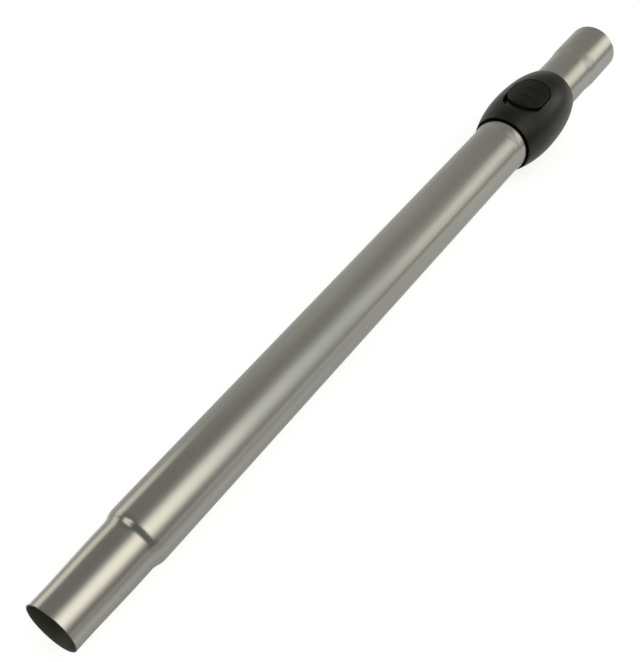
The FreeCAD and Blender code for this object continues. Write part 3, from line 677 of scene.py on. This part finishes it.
# The light: a grey room, paler towards the handle's end and the horizon. Warm panels on the wand's right
# draw the bright band down the tubes, with cool daylight between them; two warm ones stand on its left,
# and two cool ones beyond the spigot's end.
ROOM_GREY = 0.22
ROOM_TINT = (0.985, 1.0, 0.955, 1)
WARM_TINT = (1.0, 0.94, 0.85, 1)
COOL_TINT = (0.90, 0.965, 1.03, 1)
WARM_PANELS = (
    (1.68, (-0.16, -0.08, 0.31, 0.37), (-78, -44, -32, 0)),
    (1.22, (0.30, 0.36, 0.37, 0.43), (-76, -50, -36, -2)),
    (0.94, (0.55, 0.635, 0.655, 0.69), (-84, -74, -54, -30)),
    (1.12, (0.665, 0.692, 0.71, 0.745), (-76, -56, -36, -14)),
    (1.04, (0.715, 0.75, 0.85, 0.97), (-90, -74, -46, -18)),
    (1.60, (0.78, 0.81, 0.83, 0.89), (-82, -62, -50, -36)),
    (1.05, (-0.20, -0.10, 0.355, 0.40), (56, 70, 84, 94)),
    (1.70, (-0.38, -0.31, -0.19, -0.12), (8, 22, 42, 52)))
COOL_PANELS = (
    (0.52, (0.34, 0.42, 0.50, 0.68), (-84, -54, -38, -2)),
    (0.16, (-0.16, -0.08, 0.44, 0.56), (-60, -40, -14, 16)),
    (0.09, (0.34, 0.42, 0.60, 0.70), (-110, -95, -80, -66)),
    (0.75, (-1.2, -1.1, -0.62, -0.44), (-82, -58, -40, -14)),
    (0.60, (-1.2, -1.1, -0.62, -0.44), (14, 36, 54, 78)))
PALE_WALL = (0.14, (0.38, 0.45, 0.58, 0.74), (10, 55, 80, 95))
room = bpy.data.worlds.new("grey studio")
room.use_nodes = True
studio = Graph(room.node_tree)
direction = studio.add("ShaderNodeTexCoord", {}, {}, "Generated")
reach = studio.add("ShaderNodeSeparateXYZ", {}, {0: direction}, "X")
aside = studio.maths("DEGREES", studio.maths("ARCTAN2", reach.also("Y"), reach.also("Z")))
off_zenith = studio.maths("ABSOLUTE", aside)


def panel(strength, lengthwise, sidewise):
    """A panel with soft edges. Lengthwise it is bounded by the direction's share along the wand, and
    sidewise by degrees from straight up, left of the wand counted up; each goes dark, full, full, dark."""
    edges = []
    for value, (dark, full, still_full, dark_again) in ((reach, lengthwise), (aside, sidewise)):
        edges += [(value, dark, full), (value, dark_again, still_full)]
    return studio.patch(strength, *edges)


grey = ROOM_GREY + panel(*PALE_WALL) + sum(studio.patch(*row) for row in (
    (0.13, (reach, -0.25, 0.3)),
    (0.13, (reach, 0.25, 0.65)),
    (-0.20, (reach, 0.8, 0.96)),
    (0.35, (reach, -0.5, -0.85)),
    (0.05, (off_zenith, 30, 90))))
warm = sum(panel(*row) for row in WARM_PANELS)
cool = sum(panel(*row) for row in COOL_PANELS)
light = studio.add("ShaderNodeBackground", {}, {"Color": ROOM_TINT, "Strength": grey})
for tint, strength in ((WARM_TINT, warm), (COOL_TINT, cool)):
    glow = studio.add("ShaderNodeBackground", {}, {"Color": tint, "Strength": strength})
    light = studio.add("ShaderNodeAddShader", {}, {0: light, 1: glow})
white = studio.add("ShaderNodeBackground", {}, {"Color": (1, 1, 1, 1), "Strength": 1.0})
by_camera = studio.add("ShaderNodeLightPath", {}, {}, "Is Camera Ray")
shown = studio.add("ShaderNodeMixShader", {}, {0: by_camera, 1: light, 2: white})
studio.give(studio.nodes["World Output"].inputs["Surface"], shown)
studio.nodes.remove(studio.nodes["Background"])
bpy.context.scene.world = room


# The camera: above the spigot's end and to the right of the wand, looking down its length. Its place, in
# millimetres from the spigot's mouth, and its focal length were fitted to the photograph's outlines.
EYE = (-137.4, -260.3, 524.9)
LOOK = (0.5364, 0.3789, -0.7541)
RIGHT = (0.5769, -0.8168, 0.0)
SENSOR = 36.0
FOCAL_PIXELS = 1150.0
LONG_SIDE_PIXELS = 662.0
PIXELS_RIGHT = 0.7
PIXELS_DOWN = 0.65
NEAREST_SEEN = 0.01
forward = Vector(LOOK).normalized()
rightward = Vector(RIGHT).normalized()
aim = Matrix((rightward, rightward.cross(forward), -forward)).transposed().to_4x4()
lens = bpy.data.cameras.new("camera")
lens.sensor_width = SENSOR
lens.lens = FOCAL_PIXELS * SENSOR / LONG_SIDE_PIXELS
lens.clip_start = NEAREST_SEEN
lens.shift_x = PIXELS_RIGHT / -LONG_SIDE_PIXELS
lens.shift_y = PIXELS_DOWN / LONG_SIDE_PIXELS
camera = bpy.data.objects.new("camera", lens)
camera.matrix_world = Matrix.Translation(lie_in_mm @ Vector(EYE)) @ lie.to_3x3().to_4x4() @ aim
bpy.context.scene.collection.objects.link(camera)
bpy.context.scene.camera = camera

bpy.context.scene.view_settings.view_transform = "Standard"
bpy.context.view_layer.update()
